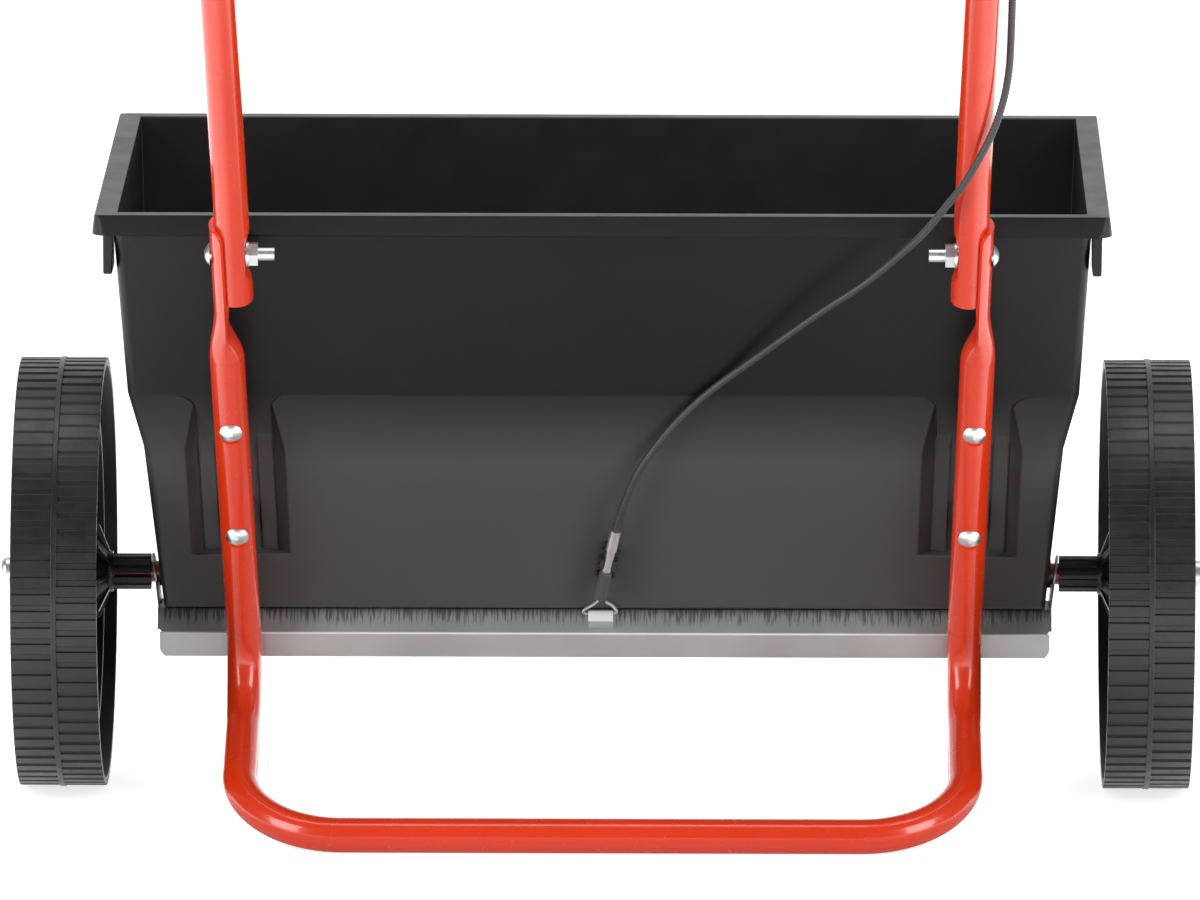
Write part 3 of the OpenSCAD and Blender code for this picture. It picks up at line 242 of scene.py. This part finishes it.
def wheel_plastic():
    """Worn grey-black moulding with a dull, slightly dusty skin."""
    paint = Paint("wheel_plastic")
    dust = paint.range(paint.noise(700, 3, 0.7), 0.66, 0.76, 0.0, 0.16)
    base = paint.mix(paint.range(paint.noise(24, 4), *CLOSE), grey(0.005), grey(0.008))
    paint.set(Base_Color=paint.mix(dust, base, grey(0.16)),
              Roughness=paint.range(paint.noise(90, 4, 0.62), *WIDE, 0.34, 0.5),
              Specular_IOR_Level=0.52)
    paint.soften(0.45 * MM)
    paint.bump(paint.noise(420, 3), 0.22, GRAIN_DEEP)
    return paint.material


def painted(name, colour, deep, roughness_or_lit_grey, coat, coat_rough):
    """Powder-coated tube: an even colour under a clear gloss."""
    paint = Paint(name)
    paint.set(
        Base_Color=paint.mix(paint.range(paint.noise(22, 3), *WIDE), deep, colour),
        Roughness=paint.range(paint.noise(160, 3), *WIDE, *roughness_or_lit_grey),
        Coat_Weight=coat, Coat_Roughness=coat_rough)
    return paint.material


def metal(name, dark, light, roughness_or_lit_grey):
    """Plated or drawn steel, faintly mottled."""
    paint = Paint(name)
    cloud = paint.noise(90, 5, 0.6)
    paint.set(Base_Color=paint.mix(paint.range(cloud, *WIDE), dark, light),
              Roughness=paint.range(cloud, *WIDE, *roughness_or_lit_grey), Metallic=1.0)
    paint.bump(cloud, 0.04, PLATE_DEEP)
    return paint.material


def galvanised():
    """Zinc-coated sheet: soft mottling, dark scuffs down the top of the band, painted shade on
    the band above its fold, and painted highlights along its fold and on the upper half of the
    bridge."""
    paint = Paint("galvanised", SCUFF_STRETCH)
    cloud = paint.noise(16, 4, vector=paint.place)
    sheen = paint.mix(paint.range(cloud, *WIDE), (0.49, 0.515, 0.515, 1),
                      (0.58, 0.605, 0.60, 1))
    height = paint.math("SUBTRACT", paint.axis("Z"), AXLE.z)
    near_top = paint.range(height, BAND_LOW, BAND_TOP)
    below_top = paint.range(height, BAND_TOP + 0.1 * MM, BAND_TOP + 0.3 * MM, 1.0, 0.0)
    # The band leans out as it goes down; the bridge stands out from it and is clean
    lean = paint.math("MULTIPLY", height, BAND_SLOPE)
    proud = paint.math("ADD", paint.math("SUBTRACT", AXLE.y - BAND_OUT, paint.axis("Y")), lean)
    on_band = paint.range(proud, 0.9 * MM, 1.3 * MM, 1.0, 0.0)
    reach = paint.math("ADD", paint.noise(62, 3, 0.6), paint.math("MULTIPLY", near_top, 0.15))
    marks = paint.math("MULTIPLY", paint.range(reach, 0.56, 0.68),
                       paint.range(near_top, 0.1, 0.5))
    scuffs = paint.math("MULTIPLY", marks, paint.math("MULTIPLY", below_top, on_band), True)
    # Painted highlight: a bright line along the fold, where the bent edge catches the light
    away = paint.math("ABSOLUTE", paint.math("SUBTRACT", height, FOLD))
    line = paint.range(away, 0.25 * MM, 0.6 * MM, 1.0, 0.0)
    # Painted shade: the band above its fold is painted darker, for the black hopper that it
    # reflects
    painted_band_shade = paint.math("MULTIPLY", on_band, paint.range(height, FOLD, FOLD + 1 * MM))
    band = paint.mix(paint.math("MULTIPLY", painted_band_shade, 0.25), sheen, grey(BAND_SHADE_GREY))
    colour = paint.mix(paint.math("MULTIPLY", scuffs, 0.75), band, grey(SCUFF_GREY))
    # Painted highlight: the bridge's upper half, which faces the light, is painted bright
    painted_bridge_highlight = paint.math("MULTIPLY", paint.range(on_band, 0.0, 1.0, 1.0, 0.0),
                      paint.range(height, BRIDGE_MIDDLE - 0.2 * MM, BRIDGE_MIDDLE + 0.2 * MM))
    # Painted highlights of the fold and of the bridge's upper half, bright and less metallic
    painted_highlight = paint.math("MAXIMUM", line, paint.math("MULTIPLY", painted_bridge_highlight, below_top))
    paint.set(Base_Color=paint.mix(painted_highlight, colour, grey(HIGHLIGHT_GREY)),
              Roughness=paint.range(cloud, *WIDE, 0.42, 0.52),
              Metallic=paint.range(painted_highlight, 0.0, 1.0, 0.9, 0.2))
    paint.bump(paint.noise(300, 3, vector=paint.place), 0.05, PLATE_DEEP)
    return paint.material


def foam():
    """Closed-cell foam: matt, with small open pores whose hollows are painted darker as shade."""
    paint = Paint("foam")
    pores = paint.range(paint.noise(1300, 3, 0.7), 0.38, 0.62)
    # Painted shade: the low parts of the pores' relief are painted the darker grey
    paint.set(Base_Color=paint.mix(pores, grey(0.006), grey(0.02)), Roughness=0.92,
              Specular_IOR_Level=0.25)
    paint.bump(pores, 0.8, PORE_DEEP)
    return paint.material


finishes = {
    "hopper_plastic": hopper_plastic(),
    "wheel_plastic": wheel_plastic(),
    "bush_plastic": moulded("bush_plastic", grey(0.03), grey(0.045), (0.4, 0.5), 700, 0.1),
    "control_plastic": moulded("control_plastic", grey(0.018), grey(0.026), (0.42, 0.5),
                               1100, 0.3),
    "lever_plastic": moulded("lever_plastic", (0.66, 0.045, 0.01, 1), (0.74, 0.055, 0.012, 1),
                             (0.25, 0.32), 900, 0.06),
    "orange_paint": painted("orange_paint", (0.75, 0.040, 0.006, 1), (0.69, 0.035, 0.005, 1),
                            (0.22, 0.28), 0.5, 0.06),
    "red_paint": painted("red_paint", (0.5, 0.02, 0.01, 1), (0.4, 0.015, 0.008, 1),
                         (0.3, 0.4), 0.35, 0.2),
    "foam": foam(),
    "boot_rubber": moulded("boot_rubber", grey(0.045), grey(0.06), (0.55, 0.65), 900, 0.2),
    "zinc": metal("zinc", (0.62, 0.655, 0.66, 1), (0.77, 0.80, 0.79, 1), (0.32, 0.42)),
    "galvanised": galvanised(),
    "spring_steel": metal("spring_steel", (0.64, 0.67, 0.67, 1), (0.82, 0.84, 0.83, 1),
                          (0.24, 0.34)),
    "cable_skin": moulded("cable_skin", grey(0.03), grey(0.042), (0.4, 0.5), 900, 0.1),
}
slots = {part["node"]: part["material_slot"] for part in frame["record"]["subparts"]}
for node, obj in solids.items():
    for place in obj.material_slots:
        place.material = finishes[slots[node]]


# Pieces

# Points closer than this are one, faces that turn less than this are flat, and a face that is
# wider than this is broad
SAME_POINT = 0.002 * MM
FLAT = math.radians(0.01)
BROAD = 2.2 * MM
ALL_ANGLES = 180


def finish_piece(obj, body, slot):
    """Gives a new mesh its finish, and hangs it on its body."""
    obj.data.materials.clear()
    obj.data.materials.append(finishes[slot])
    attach(obj, body)
    return obj


def breadth(face):
    """A face's area over its longest edge."""
    return face.calc_area() / max(edge.calc_length() for edge in face.edges)


def piece_of(name, sheet, body, slot, sharp=35, fold=ALL_ANGLES):
    """A new piece from a bmesh, smooth except at edges over an angle; between two broad faces
    the smaller angle fold is enough."""
    bmesh.ops.recalc_face_normals(sheet, faces=sheet.faces)
    for face in sheet.faces:
        face.smooth = True
    for edge in sheet.edges:
        if len(edge.link_faces) == 2:
            broad = min(breadth(face) for face in edge.link_faces) > BROAD
            limit = min(sharp, fold) if broad else sharp
            edge.smooth = edge.calc_face_angle(0.0) < math.radians(limit)
    mesh = bpy.data.meshes.new(name)
    sheet.to_mesh(mesh)
    sheet.free()
    obj = linked(name, mesh)
    weigh = obj.modifiers.new("even_shading", "WEIGHTED_NORMAL")
    weigh.keep_sharp = True
    weigh.mode = "FACE_AREA_WITH_ANGLE"
    return finish_piece(obj, body, slot)


def copy_of(node):
    """A CAD node's mesh with its points merged."""
    sheet = bmesh.new()
    sheet.from_mesh(solids[node].data)
    bmesh.ops.remove_doubles(sheet, verts=sheet.verts, dist=SAME_POINT)
    return sheet


def make_faces_whole(sheet):
    """Joins the triangles of each flat face."""
    bmesh.ops.dissolve_limit(sheet, angle_limit=FLAT, verts=sheet.verts, edges=sheet.edges,
                             use_dissolve_boundaries=False)
    bmesh.ops.recalc_face_normals(sheet, faces=sheet.faces)


def round_edges(sheet, width, segments, chosen):
    edges = [edge for edge in sheet.edges
             if len(edge.link_faces) == 2 and chosen(edge, edge.calc_face_angle(0.0))]
    bmesh.ops.bevel(sheet, geom=edges, offset=width, offset_type="OFFSET", segments=segments,
                    profile=0.5, affect="EDGES", clamp_overlap=False, material=-1)


# Hopper: rounded body corners and softened edges

# The body's four corners: where they stand along the axle, the least turn, rise and length of
# their edges, and the height below the rim's skirt where the walls are cut across
CORNERS_FROM, CORNERS_TO = 200 * MM, 222.4 * MM
CORNER_TURN, CORNER_RISE, CORNER_LONG = math.radians(50), 0.6, 15 * MM
CORNERS_END = AXLE.z + 162 * MM
CORNER_ROUND, CORNER_STEPS = 4 * MM, 4
# The other edges that are rounded: how much, from which turn, and from which length
EDGE_ROUND, EDGE_TURN, EDGE_LONG = 0.7 * MM, math.radians(24), 6 * MM
EDGE_STEPS = 2


def is_body_corner(edge, angle):
    a, b = edge.verts
    along = b.co - a.co
    mid = (a.co + b.co) / 2
    return (edge.is_convex and angle > CORNER_TURN and along.length > CORNER_LONG
            and CORNERS_FROM < abs(mid.x) < CORNERS_TO
            and abs(along.z) > CORNER_RISE * along.length)


def is_soft_edge(edge, angle):
    """Below the axle only outer edges are softened, so that the shutter keeps its room."""
    return (angle > EDGE_TURN and edge.calc_length() > EDGE_LONG
            and (edge.is_convex or min(vert.co.z for vert in edge.verts) > AXLE.z))


def clear_corners(sheet, height):
    """Cuts the walls across at a height and joins the flat faces above the cut. No seam of a
    flat wall then ends at a corner of the body, and rounding this keeps the walls flat."""
    bmesh.ops.bisect_plane(sheet, geom=[*sheet.verts, *sheet.edges, *sheet.faces], dist=1e-6,
                           plane_co=(0, 0, height), plane_no=(0, 0, 1))
    angles = [(edge, edge.calc_face_angle(0.0)) for edge in sheet.edges
              if len(edge.link_faces) == 2]
    corners = {vert for edge, angle in angles if is_body_corner(edge, angle)
               for vert in edge.verts}
    seams = [edge for edge, angle in angles if angle < FLAT
             and not corners.isdisjoint(edge.verts)
             and abs(edge.verts[0].co.z - edge.verts[1].co.z) > MM]
    bmesh.ops.dissolve_edges(sheet, edges=seams, use_verts=False)


hopper = copy_of("hopper")
make_faces_whole(hopper)
clear_corners(hopper, CORNERS_END)
round_edges(hopper, CORNER_ROUND, CORNER_STEPS, is_body_corner)
round_edges(hopper, EDGE_ROUND, EDGE_STEPS, is_soft_edge)
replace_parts(piece_of("hopper_shell", hopper, "base", "hopper_plastic", sharp=32, fold=5),
            "hopper")

# Tubes: the same meshes, shaded smooth along their bends

for node in ("stand_frame", "handle_tube_left", "handle_tube_right", "upper_handle"):
    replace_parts(piece_of(f"{node}_tube", copy_of(node), "base", "orange_paint", sharp=40), node)

# Curves that become meshes

def rounded(points, steps):
    """Points of a Catmull-Rom curve through the inner points, as the solids have them."""
    points = [Vector(p) for p in points]
    out = []
    for i in range(1, len(points) - 2):
        a, b, c, d = points[i - 1:i + 3]
        for k in range(steps):
            f = k / steps
            out.append(0.5 * (2 * b + (c - a) * f + (2 * a - 5 * b + 4 * c - d) * f * f
                              + (3 * b - a - 3 * c + d) * f ** 3))
    return out + [points[-2]]


def evenly(points, step):
    """The same line with points a step apart."""
    out, rest = [points[0]], step
    for a, b in zip(points, points[1:]):
        gap = (b - a).length
        while rest <= gap:
            out.append(a.lerp(b, rest / gap))
            rest += step
        rest -= gap
    return out


def mesh_of(curve):
    """The mesh of a curve or a text, which is then removed."""
    holder = linked(curve.name + "_holder", curve)
    bpy.context.view_layer.update()
    mesh = bpy.data.meshes.new_from_object(holder)
    bpy.data.objects.remove(holder)
    bpy.data.curves.remove(curve)
    return mesh


def wire(name, lines, radius, body, slot, swell=None, half_sides=4):
    """Round wire along lines of points; swell gives each point's share of the radius."""
    curve = bpy.data.curves.new(name, "CURVE")
    curve.dimensions = "3D"
    curve.bevel_depth = radius
    curve.bevel_resolution = half_sides - 2
    curve.use_fill_caps = True
    for line in lines:
        spline = curve.splines.new("POLY")
        spline.points.add(len(line) - 1)
        for i, point in enumerate(line):
            spline.points[i].co = (*point, 1.0)
            spline.points[i].radius = swell(i) if swell else 1.0
    mesh = mesh_of(curve)
    mesh.name = name
    for polygon in mesh.polygons:
        polygon.use_smooth = True
    return finish_piece(linked(name, mesh), body, slot)


# Cable sheath: the route of the solid's sheath, with the fine ribs of its skin. Each point is
# the distance from the middle, the distance out from the wall, and the place along the wall,
# in millimetres.

CABLE_R = 1.75 * MM
ENTRY = (188.151, 36.4256, 707.84)
FERRULE_TOP = (5.0414, 12.0, 37.637)
FERRULE_AIM = (0.18738, 0.0, 0.98229)
cable_low = [
    (189, 35.2, 670), (189.5, 33.4, 652), (190.4, 30, 632), (191.3, 25.6, 612),
    (192, 21.2, 588), (191, 18.5, 560), (189.5, 18, 530), (188, 18, 495),
    (187, 18, 460), (186, 18, 425), (185, 18, 390), (184.5, 18, 355), (184, 18.5, 322),
    (183.3, 20, 308), (181, 24, 295), (176.7, 28.5, 282), (171, 31, 269.5),
    (163.5, 31, 253.5), (154.5, 28, 237), (145.5, 24, 220.5), (133.5, 19.5, 203.5),
    (118.5, 15.5, 185.5), (100.5, 12.5, 168.5), (82, 9.5, 150), (66, 5.5, 132.5),
    (54, 3.2, 120), (43.5, 3.5, 109.5), (32.5, 6.5, 98.5), (23.5, 9.5, 87),
    (15.5, 11.8, 74), (10.3, 12, 59), (7.1, 12, 48)]
# The points beyond this distance were chosen for a pivot at 179 and keep their share of it
INNER_X, PIVOT_SHARE = 40, 178.325 / 179
cable_route = [(x if x < INNER_X else x * PIVOT_SHARE, off, s) for x, off, s in cable_low]


def down(point, drop, off=0.0):
    """A point lower along the wall, and nearer to it by off."""
    return (point[0], point[1] - off, point[2] - drop)


cable_all = [down(ENTRY, -14), ENTRY, down(ENTRY, 11), down(ENTRY, 22, 0.3), *cable_route,
             FERRULE_TOP,
             tuple(p - 14 * d for p, d in zip(FERRULE_TOP, FERRULE_AIM))]
sheath_line = [WALL @ Vector((x * MM, -off * MM, s * MM))
               for x, off, s in (tuple(p) for p in rounded(cable_all, 8))]
RIB_STEP = 0.42 * MM
RIB = (1.0, 0.985, 0.88, 0.985)
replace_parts(wire("cable_sheath_ribbed", [evenly(sheath_line, RIB_STEP)], CABLE_R, "base",
                 "cable_skin", swell=lambda i: RIB[i % len(RIB)], half_sides=6),
            "cable_sheath")

# Return spring: a wound coil, with its lower hook in the arm's eye and its upper one through
# the lug's

# How far in front of the axle it hangs, and the heights of the lug's eye and the arm's eye
SPRING_T = 50.7775 * MM
SPRING_TOP, SPRING_EYE = 34.0 * MM, -7.58875 * MM
SPRING_R, SPRING_WIRE = 3.2 * MM, 0.6 * MM
# What is left of its length when the shutter is fully open
coil_low, coil_high = SPRING_EYE + 9 * MM, SPRING_TOP - 10 * MM
TURNS, COIL_STEPS = 17, 18


def spring_point(x, y, z):
    return AXLE + Vector((x, SPRING_T + y, z))


coil = [spring_point(SPRING_R * math.cos(a), SPRING_R * math.sin(a),
                     coil_low + (coil_high - coil_low) * i / (TURNS * COIL_STEPS))
        for i in range(TURNS * COIL_STEPS + 1)
        for a in [2 * math.pi * i / COIL_STEPS]]
hook_low = [spring_point(x * MM, y * MM, SPRING_EYE + z * MM) for x, y, z in (
    (0, 1.6, 6), (0, 1.9, 3), (0, 1.5, -0.2), (0, 0, -0.9), (0, -1.5, -0.2), (0, -1.9, 3),
    (0, -1.2, 6), (1.6, -0.4, 8.2), (3.2, 0, 9), (3.2, 1, 9.2))]
# The upper hook goes round the lug at this distance from its middle, in millimetres
half_lug = 3.7
hook_high = [spring_point(x * MM, y * MM, SPRING_TOP + z * MM) for x, y, z in (
    (3.2, 1, -10.2), (3.2, 0, -10), (1.6, 0, -9.2), (0, 0, -8.2), (0.4, 0, -6.6),
    (half_lug, 0, -5.2), (half_lug, 0, -1.2), (half_lug - 1, 0, 0), (0, 0, 0.1),
    (1 - half_lug, 0, 0), (-half_lug, 0, -1.2), (-half_lug, 0, -5), (-2.4, 0, -6),
    (-1, 0, -6.4))]
spring = wire("return_spring_coil", [rounded(hook_low, 6), coil, rounded(hook_high, 6)],
              SPRING_WIRE, "base", "spring_steel")
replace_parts(spring, "return_spring")
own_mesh(spring)

# Scale on the dosing control: raised ticks and numbers around the lever's pivot

PIVOT_X, PIVOT_S = 178.325 * MM, 748 * MM
SCALE_OFF = 43.51 * MM
DIAL = (WALL @ Matrix.Translation((PIVOT_X, -SCALE_OFF, PIVOT_S))
        @ Matrix.Rotation(math.radians(90), 4, "X"))
MARK_H = 0.14 * MM
TICK_WIDE, TICK_END = 0.35 * MM, 39.2 * MM
TICK_LONG, TICK_SHORT = 2.2 * MM, 1.3 * MM
NUMBER_TALL, NUMBER_R = 4.4 * MM, 33.6 * MM
NUMBERS, STEP = range(6), math.radians(10)


def on_dial(value, radius):
    """The place of a mark for a value of the scale."""
    angle = (NUMBERS[-1] / 2 - value) * STEP
    return DIAL @ Matrix.Rotation(angle, 4, "Z") @ Matrix.Translation((0, radius, 0))


marks = bmesh.new()
for half in range(2 * len(NUMBERS) - 1):
    tick = TICK_LONG if half % 2 == 0 else TICK_SHORT
    bmesh.ops.create_cube(marks, size=1, matrix=on_dial(half / 2, TICK_END - tick / 2)
                          @ Matrix.Diagonal((TICK_WIDE, tick, 2 * MARK_H, 1)))
piece_of("scale_ticks", marks, "base", "zinc")
for number in NUMBERS:
    text = bpy.data.curves.new(f"number_{number}", "FONT")
    text.body = str(number)
    text.size = NUMBER_TALL
    text.align_x, text.align_y = "CENTER", "CENTER"
    text.extrude = MARK_H
    mesh = mesh_of(text)
    mesh.transform(on_dial(number, NUMBER_R))
    finish_piece(linked(f"scale_number_{number}", mesh), "base", "zinc")

# Floor and light

FLOOR_HALF = 20
# The floor's glow in reflections begins at this distance from the middle and is full at that
GLOW_FROM, GLOW_FULL, GLOW = 0.20, 0.36, 1.5
FLOOR_SEEN = 0.72

floor_mesh = bpy.data.meshes.new("floor")
sheet = bmesh.new()
bmesh.ops.create_grid(sheet, x_segments=1, y_segments=1, size=FLOOR_HALF)
sheet.to_mesh(floor_mesh)
sheet.free()
floor = linked("floor", floor_mesh)
paint = Paint("floor_paint")
paint.set(Base_Color=grey(0.86), Roughness=0.9, Emission_Color=grey(1.0))
ray = paint.nodes.new("ShaderNodeLightPath").outputs
away = paint.nodes.new("ShaderNodeVectorMath")
away.operation = "LENGTH"
paint.links.new(paint.place, away.inputs[0])
glossy = paint.math("MULTIPLY", ray["Is Glossy Ray"],
                    paint.range(away.outputs["Value"], GLOW_FROM, GLOW_FULL, 0.0, GLOW))
seen = paint.math("MULTIPLY", ray["Is Camera Ray"], FLOOR_SEEN)
paint.set(Emission_Strength=paint.math("ADD", glossy, seen))
floor_mesh.materials.append(paint.material)

# The world is white to the camera and through glass. Otherwise it is a dim studio with a
# white backdrop in front of the spreader, which begins at one share of the way and is full at
# the other.
STUDIO_DIM, BACKDROP = 0.16, 1.2
BACKDROP_FROM, BACKDROP_FULL = 0.35, 0.85

world = bpy.data.worlds.new("studio")
world.use_nodes = True
bpy.context.scene.world = world
nodes, links = world.node_tree.nodes, world.node_tree.links
back = nodes["Background"]
back.inputs["Color"].default_value = grey(1.0)
ray = nodes.new("ShaderNodeLightPath").outputs
shown = nodes.new("ShaderNodeMath")
shown.operation = "MAXIMUM"
links.new(ray["Is Camera Ray"], shown.inputs[0])
links.new(ray["Is Transmission Ray"], shown.inputs[1])
where = nodes.new("ShaderNodeTexCoord")
split = nodes.new("ShaderNodeSeparateXYZ")
links.new(where.outputs["Generated"], split.inputs[0])
forward = nodes.new("ShaderNodeMapRange")
for key, value in (("From Min", BACKDROP_FROM), ("From Max", BACKDROP_FULL),
                   ("To Min", STUDIO_DIM), ("To Max", BACKDROP)):
    forward.inputs[key].default_value = value
links.new(split.outputs["Y"], forward.inputs["Value"])
level = nodes.new("ShaderNodeMath")
level.operation = "MAXIMUM"
links.new(forward.outputs["Result"], level.inputs[0])
links.new(shown.outputs[0], level.inputs[1])
links.new(level.outputs[0], back.inputs["Strength"])


def lamp(name, where, at, size, power):
    light = bpy.data.lights.new(name, "AREA")
    light.shape = "RECTANGLE"
    light.size, light.size_y = size
    light.energy = power
    obj = linked(name, light)
    obj.location = where
    obj.rotation_euler = (Vector(at) - Vector(where)).to_track_quat("-Z", "Y").to_euler()


# Boxes of light: how far to the side, behind the axle and up, their sizes and their power
target = (0, AXLE.y, 0.2)
SIDE_X, SIDE_BACK, SIDE_UP = 2.1, 1.7, 1.0
SIDE_SIZE, SIDE_POWER = (1.2, 1.9), 47
TOP_BACK, TOP_UP = -0.2, 2.9
TOP_SIZE, TOP_POWER = (2.4, 1.6), 36
for name, side in (("left_box", -1), ("right_box", 1)):
    lamp(name, (side * SIDE_X, AXLE.y - SIDE_BACK, SIDE_UP), target, SIDE_SIZE, SIDE_POWER)
lamp("top_box", (0, AXLE.y - TOP_BACK, TOP_UP), target, TOP_SIZE, TOP_POWER)
